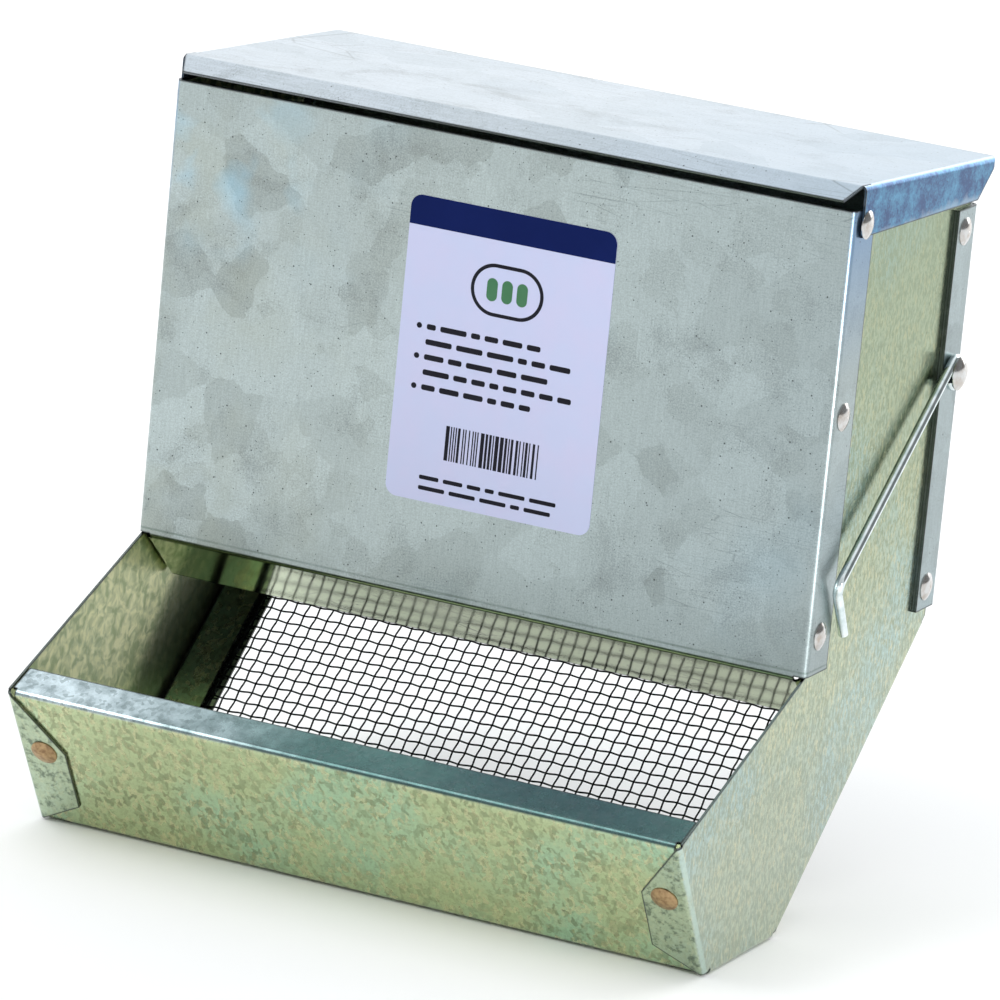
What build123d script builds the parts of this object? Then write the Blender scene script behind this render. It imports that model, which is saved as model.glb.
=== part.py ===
from build123d import *
import math
import os

# Rabbit hopper feeder, folded from galvanised sheet and riveted. It hangs on a cage wall.
# Millimetres. X is across the feeder, +Y points to its back (outside the cage), +Z is up.
# The origin is on the hopper's front face, the face that lies against the cage wall,
# on the centre line, SEAT_HEIGHT above the underside of the trough.

# ---- driving dimensions ----------------------------------------------------
BODY_WIDTH = 177.8            # outside of the two side panels
SHEET = 0.6                   # galvanised sheet
LAP = 0.02                    # gap between two sheets that lie on each other
BEND = 1.6                    # outer radius of a bend
SEAT_HEIGHT = 75.0            # origin above the underside

# Side outline, as (distance behind the hopper's front face, height above the underside).
FLOOR_FRONT = (-39.6, 0.0)
FLOOR_BACK = (-0.6, 0.0)
TROUGH_BROW = (-62.2, 36.6)
HOPPER_FOOT = 63.4            # height of the lower edge of the hopper's front
HOPPER_TOP = 176.6
BACK_FACE = 74.0              # outermost face on the back
RAMP_TOP_HEIGHT = 63.5        # height at which the ramp meets the back of the side panels

PAN_GAP = 1.2                 # between the pan's side edges and the side panels
LIP_WIDTH = 10.2              # rolled-in lip of the trough
LIP_SHOULDER = 2.0            # beyond the brow's bend the lip widens, to reach the side panels
LIP_END_GAP = 0.2             # between the lip's ends and the side panels
FRONT_FLANGE = 12.0           # hopper front's side flanges
BACK_FLANGE = 11.4            # back panel's and card holder's side flanges
STRIP_TOP = 167.0             # top of the back flanges, just below the lid's flaps
STRIP_FOOT = 67.4

BAFFLE_DROP = 12.6            # the feed baffle's lower edge below the hopper's foot
BAFFLE_RUN = 14.6             # and behind its front
BAFFLE_TAB = 8.0
BAFFLE_TAB_ROOT = 4.0
BAFFLE_GAP = 0.5              # between the baffle's ends and the side panels
BAFFLE_RELIEF = 1.2           # the baffle's tabs stop short of its bend
FLANGE_RELIEF = 0.6           # the front's flanges stop short of the same bend
HEM = 8.0                     # sheet folded back inside the hopper's top edges

TAB_WIDTH = 12.6              # side panel tab over the trough's front
FLOOR_TAB_WIDTH = 10.0
RAMP_TAB_WIDTH = 14.3
TAB_ROOT = 4.0                # side sheet that a tab's fold takes up
FRONT_TAB_ENDS = (0.4, 0.7)   # edge left free before and after each tab
FLOOR_TAB_ENDS = (1.5, 2.5)
RAMP_TAB_ENDS = (2.0, 1.5)
FRONT_TAB_TAPERS = ((7.4, 0.4), (25.2, 42.2))   # up the trough's front, at the tab's edge and root
TAPER_ROOT = 1.2              # a taper ends this far inside the side panel's outer face
PLATE_TOP_STEP = 0.3          # side panel's top edge below the front's

WIRE = 0.5                    # sifter mesh wire
MESH_PITCH = 3.175            # eight wires to the inch
MESH_LOW = 10.0               # mesh and opening, measured up the ramp from its foot
MESH_HIGH = 89.0
MESH_SIDE_WIRES = 27          # on each side of the middle one
MESH_EDGE = 0.7               # wire ends beyond the last crossing
OPENING_LOW = 16.0
OPENING_HIGH = 82.0
OPENING_MARGIN = 10.1         # ramp sheet left beside the opening
SHEET_CORNER = 1.5            # rounded corners of the opening and of the clamp strip
CLAMP_STRIP = (3.5, 19.5)     # the clamp strip's edges, up the ramp
CLAMP_STRIP_GAP = 0.4         # between the strip's ends and the side panels' tabs
SEAM_FLANGE = 10.0            # pan turned up inside the back panel
FOOT_FLANGE = 14.0            # back panel turned down along the ramp
BACK_RISE = 0.4               # the back's top edge above the front's
HEEL_STRIP = 1.4              # back panel below its side flanges

POCKET_HALF = 69.4            # card pocket: room for a card five inches wide
POCKET_FOOT = 78.6
RAIL_TOP = 150.0
RAIL_WIDTH = 11.0
CARD_ROOM = 1.6

LID_FRONT = (3.2, 182.4)      # top surface of the lid at its front fold and rear edge
LID_REAR = (83.0, 177.2)
LID_PIVOT = (6.2, 172.8)
LID_GAP = 0.1                 # between the lid's flaps and the hopper's flanges
FLAP_FRONT_FOOT = (3.9, 170.0)
FLAP_REAR_FOOT = (73.0, 168.0)
FLAP_REAR_TOP = (83.2, 176.2)
FLAP_STOCK = 16.0             # depth of the flaps before they are cut to their outline
LID_HEM = 7.0
LID_CORNER = 2.2
LIP_INSET = 0.9               # the lip's ends inside the flaps' outer faces
LIP_REACH = 5.2               # flared front lip of the lid: forward, down, and mitre at its ends
LIP_FALL = 3.2
LIP_MITRE = 2.6

HOOK_PIVOT = (67.2, 126.8)
HOOK_WIRE = 2.4
HOOK_BEND_POINT = (7.9, 86.1)
HOOK_JOG = (9.3, 83.3)
HOOK_TIP = (15.4, 72.2)
HOOK_SPREAD = 0.75            # the arm's far end stands this much further out than its loop
HOOK_JOG_IN = 0.8             # the tip sits back in by this much
HOOK_RADII = [2.5, 3.0]       # of the wire's centre line at its two bends
HOOK_PLAY = 0.1               # room on each side of the eye
LOOP_TURN = 280               # degrees of the eye

RIVET_HEAD = 3.4              # head radius, rim and dome of the body rivets
RIVET_RIM = 0.2
RIVET_DOME = 0.9
RIVET_SHANK = 1.6
TAIL_FLARE = 0.8              # the hammered tail is this much wider than the shank
TAIL_HEIGHT = 0.8
HOOK_RIVET_HEAD = 4.25
HOOK_RIVET_DOME = 1.3
HOOK_RIVET_SHANK = 2.0
HOLE_CLEARANCE = 0.05
PIVOT_CLEARANCE = 0.08

# Rivet places on the sides are on the side outline. On the trough's front and on the ramp
# they are across from the middle, and up from the foot.
FRONT_RIVETS = [(5.8, 126.6), (5.8, 73.3)]
BACK_RIVETS = [(67.2, 161.3), (67.2, 73.1)]
TROUGH_RIVET = (82.2, 24.6)
RAMP_RIVETS = [(81.5, 5.5), (81.5, 93.0)]
CLAMP_RIVETS = [-55.0, 0.0, 55.0]
CLAMP_RIVET_UP = 6.0
SEAM_RIVET_UP = 93.0

WEB_LAP = 5.0                 # how far a folded strip runs into the flat sheet it continues
CUT_DEPTH = 4.0               # deeper than any stack of sheets
SIDE_CUT = 12.0               # from inside a side panel out past the hook and its rivet's head
CUT_OVER = 1.0                # a cut runs this far past the edge it opens

# ---- derived ---------------------------------------------------------------
HALF = BODY_WIDTH / 2
INNER = HALF - SHEET
PAN_HALF = INNER - PAN_GAP
FRONT_OUT = HALF + LAP + SHEET          # outside of the hopper front's flanges
HOLDER_OUT = HALF + 2 * (LAP + SHEET)   # outside of the card holder's flanges
FLAP_IN = FRONT_OUT + LID_GAP
FLAP_OUT = FLAP_IN + SHEET
BACK_OUT = BACK_FACE - SHEET - LAP      # outer face of the back panel
SIDE_BACK = BACK_OUT - SHEET - LAP      # what lies against the inside of the back panel
PLATE_FRONT = BEND + LAP                # side panels' upright edges, clear of their neighbours' bends
PLATE_BACK = BACK_OUT - BEND - LAP
MESH_LAYER = 2 * WIRE + 3 * LAP


def at(point):
    """A side-outline point, as (y, z) in the part's frame."""
    return (point[0], point[1] - SEAT_HEIGHT)


def level(height):
    return height - SEAT_HEIGHT


def unit(start, end):
    length = math.dist(start, end)
    return ((end[0] - start[0]) / length, (end[1] - start[1]) / length)


def inset(start, end, distance):
    """The line from start to end, moved to its right by distance, as two points."""
    dy, dz = unit(start, end)
    return tuple((p[0] + dz * distance, p[1] - dy * distance) for p in (start, end))


def meet(line_a, line_b):
    """Where two lines, each given by two points, cross."""
    (y1, z1), (y2, z2) = line_a
    (y3, z3), (y4, z4) = line_b
    bottom = (y1 - y2) * (z3 - z4) - (z1 - z2) * (y3 - y4)
    a = y1 * z2 - z1 * y2
    b = y3 * z4 - z3 * y4
    return ((a * (y3 - y4) - (y1 - y2) * b) / bottom, (a * (z3 - z4) - (z1 - z2) * b) / bottom)


def along(start, end, distance, lift=0.0):
    """The point at distance from start towards end, lifted to the right of the line."""
    dy, dz = unit(start, end)
    return (start[0] + dy * distance + dz * lift, start[1] + dz * distance - dy * lift)


def edge_plane(start, end):
    """Square to an edge of the side outline: local x across the feeder, local y inwards."""
    dy, dz = unit(start, end)
    return Plane(origin=(0, *start), x_dir=(1, 0, 0), z_dir=(0, dy, dz))


def face_plane(start, end):
    """On an edge's face: local x across the feeder, local y from start to end."""
    dy, dz = unit(start, end)
    return Plane(origin=(0, *start), x_dir=(1, 0, 0), z_dir=(0, -dz, dy))


P_FLOOR_FRONT = at(FLOOR_FRONT)
P_FLOOR_BACK = at(FLOOR_BACK)
P_BROW = at(TROUGH_BROW)
P_FOOT = (0.0, level(HOPPER_FOOT))
P_RAMP_TOP = (SIDE_BACK, level(RAMP_TOP_HEIGHT))


def rivet(plane, grip, head=RIVET_HEAD, dome=RIVET_DOME, shank=RIVET_SHANK):
    """A dome-headed rivet: the head sits on the plane, the shank runs back through the grip."""
    sphere = (head ** 2 + dome ** 2) / (2 * dome)
    crown = RIVET_RIM + dome
    shoulder = crown - sphere + math.sqrt(sphere ** 2 - head ** 2 / 4)
    tail = shank + TAIL_FLARE
    with BuildPart() as body:
        with BuildSketch(Plane.XZ):
            with BuildLine():
                Polyline((0, crown), (0, -grip - TAIL_HEIGHT), (tail, -grip - TAIL_HEIGHT))
                Polyline((tail, -grip - TAIL_HEIGHT), (tail, -grip), (shank, -grip), (shank, 0))
                Polyline((shank, 0), (head, 0), (head, RIVET_RIM))
                ThreePointArc((head, RIVET_RIM), (head / 2, shoulder), (0, crown))
            make_face()
        revolve(axis=Axis.Z)
    return plane * body.part


def side_hole(points, radius, side=1):
    """Cut round holes through everything on one side of the body, across the sheet."""
    with BuildSketch(Plane.YZ.offset(side * (INNER - CUT_DEPTH))) as holes:
        for point in points:
            with Locations(at(point)):
                Circle(radius)
    extrude(holes.sketch, amount=side * SIDE_CUT, mode=Mode.SUBTRACT)


os.makedirs("parts", exist_ok=True)


# ---- side panels -----------------------------------------------------------
def fold_tab(start, end, width, ends):
    """A tab folded inwards along an edge of the side outline, with both ends of it left free."""
    with BuildSketch(edge_plane(along(start, end, ends[0]), end)) as section:
        with BuildLine():
            fold = FilletPolyline((HALF, TAB_ROOT), (HALF, 0), (HALF - width, 0), radius=BEND)
            offset(fold, amount=SHEET, side=Side.RIGHT, closed=True)
        make_face()
    extrude(section.sketch, amount=math.dist(start, end) - sum(ends))


def taper_tab(at_edge, at_root):
    """Cut a corner from the tab over the trough's front, past a slanting line."""
    edge = HALF - TAB_WIDTH
    past = at_root + math.copysign(CUT_OVER, at_root - at_edge)
    with BuildSketch(face_plane(P_FLOOR_FRONT, P_BROW)) as corner:
        with BuildLine():
            Polyline(
                (edge - CUT_OVER, at_edge),
                (edge, at_edge),
                (HALF - TAPER_ROOT, at_root),
                (HALF - TAPER_ROOT, past),
                (edge - CUT_OVER, past),
                close=True,
            )
        make_face()
    extrude(corner.sketch, amount=2 * SHEET, both=True, mode=Mode.SUBTRACT)


with BuildPart() as right_side_panel:
    with BuildSketch(Plane.YZ.offset(INNER)):
        with BuildLine():
            front = inset(P_FLOOR_FRONT, P_BROW, BEND)
            floor = inset(P_FLOOR_BACK, P_FLOOR_FRONT, BEND)
            ramp = inset(P_RAMP_TOP, P_FLOOR_BACK, BEND)
            slope = (P_BROW, P_FOOT)
            upright = ((PLATE_FRONT, 0), (PLATE_FRONT, 1))
            rear = ((PLATE_BACK, 0), (PLATE_BACK, 1))
            Polyline(
                meet(front, floor),
                meet(front, slope),
                meet(slope, upright),
                (PLATE_FRONT, level(HOPPER_TOP - PLATE_TOP_STEP)),
                (PLATE_BACK, level(HOPPER_TOP - PLATE_TOP_STEP)),
                meet(rear, ramp),
                meet(ramp, floor),
                close=True,
            )
        make_face()
    extrude(amount=SHEET)
    fold_tab(P_FLOOR_FRONT, P_BROW, TAB_WIDTH, FRONT_TAB_ENDS)
    fold_tab(P_FLOOR_BACK, P_FLOOR_FRONT, FLOOR_TAB_WIDTH, FLOOR_TAB_ENDS)
    fold_tab(P_RAMP_TOP, P_FLOOR_BACK, RAMP_TAB_WIDTH, RAMP_TAB_ENDS)
    for at_edge, at_root in FRONT_TAB_TAPERS:
        taper_tab(at_edge, at_root)
    side_hole(FRONT_RIVETS + BACK_RIVETS, RIVET_SHANK + HOLE_CLEARANCE)
    side_hole([LID_PIVOT], RIVET_SHANK + HOLE_CLEARANCE)
    side_hole([HOOK_PIVOT], HOOK_RIVET_SHANK + HOLE_CLEARANCE)
    with BuildSketch(face_plane(P_FLOOR_FRONT, P_BROW)):
        with Locations(TROUGH_RIVET):
            Circle(RIVET_SHANK + HOLE_CLEARANCE)
    extrude(amount=CUT_DEPTH, both=True, mode=Mode.SUBTRACT)
    with BuildSketch(face_plane(P_FLOOR_BACK, P_RAMP_TOP)):
        with Locations(*RAMP_RIVETS):
            Circle(RIVET_SHANK + HOLE_CLEARANCE)
    extrude(amount=CUT_DEPTH, both=True, mode=Mode.SUBTRACT)
right_side_panel.part.label = "right_side_panel"
export_step(right_side_panel.part, "parts/right_side_panel.step")

with BuildPart() as left_side_panel:
    mirror(right_side_panel.part, about=Plane.YZ)
left_side_panel.part.label = "left_side_panel"
export_step(left_side_panel.part, "parts/left_side_panel.step")


# ---- hopper front panel, with its feed baffle ------------------------------
BAFFLE_HALF = INNER - BAFFLE_GAP
BAFFLE_END = (BAFFLE_RUN, level(HOPPER_FOOT - BAFFLE_DROP))
FLANGE_FOOT = level(HOPPER_FOOT + FLANGE_RELIEF)


def wrap_channel(half_width, web_face, flange_edge):
    """Plan outline of a sheet whose two flanges are folded along the side panels."""
    inside = Side.LEFT if flange_edge > web_face else Side.RIGHT
    with BuildLine() as plan:
        path = FilletPolyline(
            (-half_width, flange_edge),
            (-half_width, web_face),
            (half_width, web_face),
            (half_width, flange_edge),
            radius=BEND,
        )
        offset(path, amount=SHEET, side=inside, closed=True)
    return plan.line


with BuildPart() as hopper_front_panel:
    with BuildSketch(Plane.XY.offset(FLANGE_FOOT)):
        add(wrap_channel(FRONT_OUT, 0.0, FRONT_FLANGE))
        make_face()
    extrude(amount=level(HOPPER_TOP) - FLANGE_FOOT)
    with BuildSketch(Plane.YZ):
        with BuildLine():
            path = FilletPolyline((0, FLANGE_FOOT + WEB_LAP), P_FOOT, BAFFLE_END, radius=BEND)
            offset(path, amount=SHEET, side=Side.LEFT, closed=True)
        make_face()
    extrude(amount=BAFFLE_HALF - BEND, both=True)
    with BuildSketch(edge_plane(BAFFLE_END, P_FOOT)):
        with BuildLine():
            path = FilletPolyline(
                (BAFFLE_HALF, BAFFLE_TAB), (BAFFLE_HALF, 0), (BAFFLE_HALF - BAFFLE_TAB_ROOT, 0), radius=BEND,
            )
            offset(path, amount=SHEET, side=Side.RIGHT, closed=True)
        make_face()
        mirror(about=Plane.YZ)
    extrude(amount=math.dist(P_FOOT, BAFFLE_END) - BAFFLE_RELIEF)
    with BuildSketch(Plane.YZ):
        with Locations((SHEET + LAP + SHEET / 2, level(HOPPER_TOP) - HEM / 2)):
            Rectangle(SHEET, HEM)
        with Locations((SHEET, level(HOPPER_TOP) - SHEET / 2)):
            Rectangle(2 * SHEET, SHEET)
    extrude(amount=INNER - BEND, both=True)
    for side in (1, -1):
        side_hole(FRONT_RIVETS + [LID_PIVOT], RIVET_SHANK + HOLE_CLEARANCE, side)
hopper_front_panel.part.label = "hopper_front_panel"
export_step(hopper_front_panel.part, "parts/hopper_front_panel.step")


# ---- trough pan: lip, front, floor and ramp from one sheet -----------------
PAN_INSET = SHEET + LAP
RAMP_INSET = SHEET + LAP + MESH_LAYER + LAP


def ramp_holes(places, radius):
    """Round holes through the ramp's sheets, at (across, up the ramp) places."""
    with BuildSketch(face_plane(P_FLOOR_BACK, P_RAMP_TOP)) as holes:
        with Locations(*places):
            Circle(radius)
    extrude(holes.sketch, amount=CUT_DEPTH, both=True, mode=Mode.SUBTRACT)


clamp_places = [(x, CLAMP_RIVET_UP) for x in CLAMP_RIVETS]
seam_places = [(x, SEAM_RIVET_UP) for x in CLAMP_RIVETS]
ramp_places = [(side * x, up) for x, up in RAMP_RIVETS for side in (1, -1)]

with BuildPart() as trough_pan:
    with BuildSketch(Plane.YZ):
        with BuildLine():
            lip_line = inset(P_BROW, P_FOOT, SHEET / 2)
            front_line = inset(P_FLOOR_FRONT, P_BROW, PAN_INSET)
            floor_line = inset(P_FLOOR_BACK, P_FLOOR_FRONT, PAN_INSET)
            ramp_line = inset(P_RAMP_TOP, P_FLOOR_BACK, RAMP_INSET)
            rear_line = ((SIDE_BACK, 0), (SIDE_BACK, 1))
            brow = meet(lip_line, front_line)
            ramp_top = meet(ramp_line, rear_line)
            path = FilletPolyline(
                along(brow, lip_line[1], LIP_WIDTH),
                brow,
                meet(front_line, floor_line),
                meet(floor_line, ramp_line),
                ramp_top,
                (SIDE_BACK, ramp_top[1] + SEAM_FLANGE),
                radius=BEND,
            )
            offset(path, amount=SHEET, side=Side.LEFT, closed=True)
        make_face()
    extrude(amount=PAN_HALF, both=True)
    with BuildSketch(face_plane(brow, lip_line[1])):
        with Locations((0, (LIP_SHOULDER + LIP_WIDTH) / 2)):
            Rectangle(2 * (INNER - LIP_END_GAP), LIP_WIDTH - LIP_SHOULDER)
    extrude(amount=-SHEET)
    with BuildSketch(face_plane(P_FLOOR_BACK, P_RAMP_TOP)):
        with Locations((0, (OPENING_LOW + OPENING_HIGH) / 2)):
            RectangleRounded(2 * (PAN_HALF - OPENING_MARGIN), OPENING_HIGH - OPENING_LOW, SHEET_CORNER)
    extrude(amount=CUT_DEPTH, both=True, mode=Mode.SUBTRACT)
    ramp_holes(clamp_places + seam_places + ramp_places, RIVET_SHANK + HOLE_CLEARANCE)
    with BuildSketch(face_plane(P_FLOOR_FRONT, P_BROW)):
        with Locations(TROUGH_RIVET, (-TROUGH_RIVET[0], TROUGH_RIVET[1])):
            Circle(RIVET_SHANK + HOLE_CLEARANCE)
    extrude(amount=CUT_DEPTH, both=True, mode=Mode.SUBTRACT)
trough_pan.part.label = "trough_pan"
export_step(trough_pan.part, "parts/trough_pan.step")


# ---- sifter mesh and what clamps it ----------------------------------------
MESH_HALF = MESH_SIDE_WIRES * MESH_PITCH
low_layer = SHEET + 2 * LAP + WIRE / 2
high_layer = low_layer + WIRE + LAP
long_wires = int((MESH_HIGH - MESH_LOW - 2 * MESH_EDGE) / MESH_PITCH) + 1
mesh_rise = (long_wires - 1) * MESH_PITCH


def ramp_point(up, depth):
    """A point of the ramp, up from its foot and depth inside its outer face."""
    return along(P_FLOOR_BACK, P_RAMP_TOP, up, -depth)


with BuildPart() as mesh_long_wires:
    with BuildSketch(Plane.YZ):
        for number in range(long_wires):
            with Locations(ramp_point(MESH_LOW + MESH_EDGE + number * MESH_PITCH, low_layer)):
                Circle(WIRE / 2)
    extrude(amount=MESH_HALF + MESH_EDGE, both=True)
mesh_long_wires.part.label = "mesh_long_wires"
export_step(mesh_long_wires.part, "parts/mesh_long_wires.step")

with BuildPart() as mesh_short_wires:
    with BuildSketch(edge_plane(ramp_point(MESH_LOW, high_layer), ramp_point(MESH_HIGH, high_layer))):
        for number in range(-MESH_SIDE_WIRES, MESH_SIDE_WIRES + 1):
            with Locations((number * MESH_PITCH, 0)):
                Circle(WIRE / 2)
    extrude(amount=mesh_rise + 2 * MESH_EDGE)
mesh_short_wires.part.label = "mesh_short_wires"
export_step(mesh_short_wires.part, "parts/mesh_short_wires.step")

CLAMP_HALF = HALF - RAMP_TAB_WIDTH - CLAMP_STRIP_GAP
with BuildPart() as mesh_clamp_strip:
    with BuildSketch(face_plane(P_FLOOR_BACK, P_RAMP_TOP)):
        with Locations((0, sum(CLAMP_STRIP) / 2)):
            RectangleRounded(2 * CLAMP_HALF, CLAMP_STRIP[1] - CLAMP_STRIP[0], SHEET_CORNER)
    extrude(amount=SHEET)
    ramp_holes(clamp_places, RIVET_SHANK + HOLE_CLEARANCE)
mesh_clamp_strip.part.label = "mesh_clamp_strip"
export_step(mesh_clamp_strip.part, "parts/mesh_clamp_strip.step")


# ---- back panel and card holder --------------------------------------------
BACK_TOP = level(HOPPER_TOP + BACK_RISE)
FLANGE_EDGE = BACK_FACE - BACK_FLANGE

with BuildPart() as back_panel:
    with BuildSketch(Plane.XY.offset(level(STRIP_FOOT))):
        add(wrap_channel(FRONT_OUT, BACK_OUT, FLANGE_EDGE))
        make_face()
    extrude(amount=STRIP_TOP - STRIP_FOOT)
    with BuildSketch(Plane.YZ):
        with BuildLine():
            rear_line = ((BACK_OUT, 0), (BACK_OUT, 1))
            heel = meet(rear_line, (P_RAMP_TOP, P_FLOOR_BACK))
            path = FilletPolyline(
                (BACK_OUT, level(STRIP_FOOT) + WEB_LAP),
                heel,
                along(heel, P_FLOOR_BACK, FOOT_FLANGE),
                radius=BEND,
            )
            offset(path, amount=SHEET, side=Side.RIGHT, closed=True)
        make_face()
    extrude(amount=CLAMP_HALF, both=True)
    with BuildSketch(Plane.XZ.offset(-BACK_OUT)):
        with Locations((0, (level(STRIP_TOP) + BACK_TOP) / 2)):
            Rectangle(2 * INNER, BACK_TOP - level(STRIP_TOP))
        with Locations((0, level(STRIP_FOOT) - HEEL_STRIP / 2)):
            Rectangle(2 * INNER, HEEL_STRIP)
    extrude(amount=SHEET)
    with BuildSketch(Plane.YZ):
        with Locations((SIDE_BACK - SHEET / 2, BACK_TOP - HEM / 2)):
            Rectangle(SHEET, HEM)
        with Locations((SIDE_BACK, BACK_TOP - SHEET / 2)):
            Rectangle(2 * SHEET, SHEET)
    extrude(amount=INNER - BEND, both=True)
    for side in (1, -1):
        side_hole(BACK_RIVETS, RIVET_SHANK + HOLE_CLEARANCE, side)
        side_hole([HOOK_PIVOT], HOOK_RIVET_SHANK + HOLE_CLEARANCE, side)
    ramp_holes(seam_places, RIVET_SHANK + HOLE_CLEARANCE)
back_panel.part.label = "back_panel"
export_step(back_panel.part, "parts/back_panel.step")

# The card slides down behind a raised rail that stands off the back on three sides.
POCKET_OPEN = STRIP_TOP + CUT_OVER      # the pocket's cuts run out past its top

with BuildPart() as card_holder:
    with BuildSketch(Plane.XY.offset(level(STRIP_FOOT))):
        add(wrap_channel(HOLDER_OUT, BACK_FACE, FLANGE_EDGE))
        make_face()
    extrude(amount=STRIP_TOP - STRIP_FOOT)
    with BuildSketch(Plane.XZ.offset(-(BACK_OUT + LAP))):
        with BuildLine():
            Polyline(
                (-POCKET_HALF - SHEET, level(POCKET_FOOT) - SHEET),
                (POCKET_HALF + SHEET, level(POCKET_FOOT) - SHEET),
                (POCKET_HALF + SHEET, level(RAIL_TOP)),
                (-POCKET_HALF - SHEET, level(RAIL_TOP)),
                close=True,
            )
        make_face()
    extrude(amount=-(CARD_ROOM + SHEET))
    with BuildSketch(Plane.XZ.offset(-(BACK_OUT + LAP))):
        with Locations((0, level((POCKET_FOOT + POCKET_OPEN) / 2))):
            Rectangle(2 * POCKET_HALF, POCKET_OPEN - POCKET_FOOT)
    extrude(amount=-CARD_ROOM, mode=Mode.SUBTRACT)
    with BuildSketch(Plane.XZ.offset(-(BACK_OUT + LAP))):
        with Locations((0, level((POCKET_FOOT + RAIL_WIDTH + POCKET_OPEN) / 2))):
            Rectangle(2 * (POCKET_HALF - RAIL_WIDTH), POCKET_OPEN - POCKET_FOOT - RAIL_WIDTH)
    extrude(amount=-CUT_DEPTH, mode=Mode.SUBTRACT)
    for side in (1, -1):
        side_hole(BACK_RIVETS, RIVET_SHANK + HOLE_CLEARANCE, side)
        side_hole([HOOK_PIVOT], HOOK_RIVET_SHANK + HOLE_CLEARANCE, side)
card_holder.part.label = "card_holder"
export_step(card_holder.part, "parts/card_holder.step")


# ---- lid -------------------------------------------------------------------
P_LID_FRONT = at(LID_FRONT)
P_LID_REAR = at(LID_REAR)
LIP_HALF = FLAP_OUT - LIP_INSET
LIP_EDGE = P_LID_FRONT[0] - LIP_REACH
LID_LENGTH = math.dist(P_LID_FRONT, P_LID_REAR)
ABOVE_LID = P_LID_FRONT[1] + FLAP_STOCK

with BuildPart() as lid:
    with BuildSketch(edge_plane(P_LID_FRONT, P_LID_REAR)):
        add(wrap_channel(FLAP_OUT, 0.0, FLAP_STOCK))
        make_face()
    extrude(amount=LID_LENGTH)
    with BuildSketch(Plane.YZ):
        with BuildLine():
            Polyline(
                (FLAP_FRONT_FOOT[0], ABOVE_LID),
                at(FLAP_FRONT_FOOT),
                at(FLAP_REAR_FOOT),
                at(FLAP_REAR_TOP),
                (FLAP_REAR_TOP[0], ABOVE_LID),
                close=True,
            )
        make_face()
    extrude(amount=BODY_WIDTH, both=True, mode=Mode.INTERSECT)
    with BuildSketch(Plane.YZ):
        with BuildLine():
            lip_end = (LIP_EDGE, P_LID_FRONT[1] - LIP_FALL)
            lip_root = along(P_LID_FRONT, P_LID_REAR, WEB_LAP)
            path = FilletPolyline(lip_root, P_LID_FRONT, lip_end, radius=BEND)
            offset(path, amount=SHEET, side=Side.LEFT, closed=True)
        make_face()
    extrude(amount=LIP_HALF, both=True)
    with BuildSketch(Plane.XY.offset(P_LID_FRONT[1])):
        with BuildLine():
            Polyline(
                (LIP_HALF, P_LID_FRONT[0]),
                (LIP_HALF - LIP_MITRE, LIP_EDGE - CUT_OVER / 2),
                (LIP_HALF + CUT_OVER, LIP_EDGE - CUT_OVER / 2),
                close=True,
            )
        make_face()
        mirror(about=Plane.YZ)
    extrude(amount=FLAP_STOCK, both=True, mode=Mode.SUBTRACT)
    with BuildSketch(edge_plane(P_LID_REAR, P_LID_FRONT)):
        with Locations((0, -SHEET - LAP - SHEET / 2)):
            Rectangle(2 * (FLAP_IN - BEND), SHEET)
    extrude(amount=LID_HEM)
    with BuildSketch(edge_plane(P_LID_REAR, P_LID_FRONT)):
        with Locations((0, -SHEET)):
            Rectangle(2 * (FLAP_IN - BEND), 2 * SHEET)
    extrude(amount=SHEET)
    with BuildSketch(Plane.XY.offset(P_LID_REAR[1])) as plan:
        with Locations((0, LID_REAR[0] - LID_LENGTH)):
            Rectangle(2 * FLAP_OUT, 2 * LID_LENGTH)
        fillet(plan.vertices().group_by(Axis.Y)[-1], radius=LID_CORNER)
    extrude(amount=FLAP_STOCK, both=True, mode=Mode.INTERSECT)
    for side in (1, -1):
        side_hole([LID_PIVOT], RIVET_SHANK + PIVOT_CLEARANCE, side)
lid.part.label = "lid"
export_step(lid.part, "parts/lid.step")


# ---- wire hooks ------------------------------------------------------------
LOOP = HOOK_RIVET_SHANK + PIVOT_CLEARANCE + HOOK_WIRE / 2
HOOK_X = HOLDER_OUT + HOOK_PLAY + HOOK_WIRE / 2
P_HOOK = at(HOOK_PIVOT)
P_BEND = at(HOOK_BEND_POINT)

reach = math.dist(P_HOOK, P_BEND)
arm_length = math.sqrt(reach ** 2 - LOOP ** 2)
arm_angle = math.atan2(P_BEND[1] - P_HOOK[1], P_BEND[0] - P_HOOK[0]) + math.asin(LOOP / reach)
arm = (math.cos(arm_angle), math.sin(arm_angle))
over = (arm[1], -arm[0])                # square to the arm, on its upper side
spread = math.atan2(HOOK_SPREAD, arm_length)


def hook_place(point, inwards=0.0):
    """A side-outline point in the hook's own plane: along the arm, above it, and inwards."""
    dy, dz = point[0] - HOOK_PIVOT[0], point[1] - HOOK_PIVOT[1]
    return (dy * arm[0] + dz * arm[1], dy * over[0] + dz * over[1], inwards)


hook_plane = Plane(
    origin=(HOOK_X, *P_HOOK),
    x_dir=(math.sin(spread), arm[0] * math.cos(spread), arm[1] * math.cos(spread)),
    z_dir=(-math.cos(spread), arm[0] * math.sin(spread), arm[1] * math.sin(spread)),
)

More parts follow.
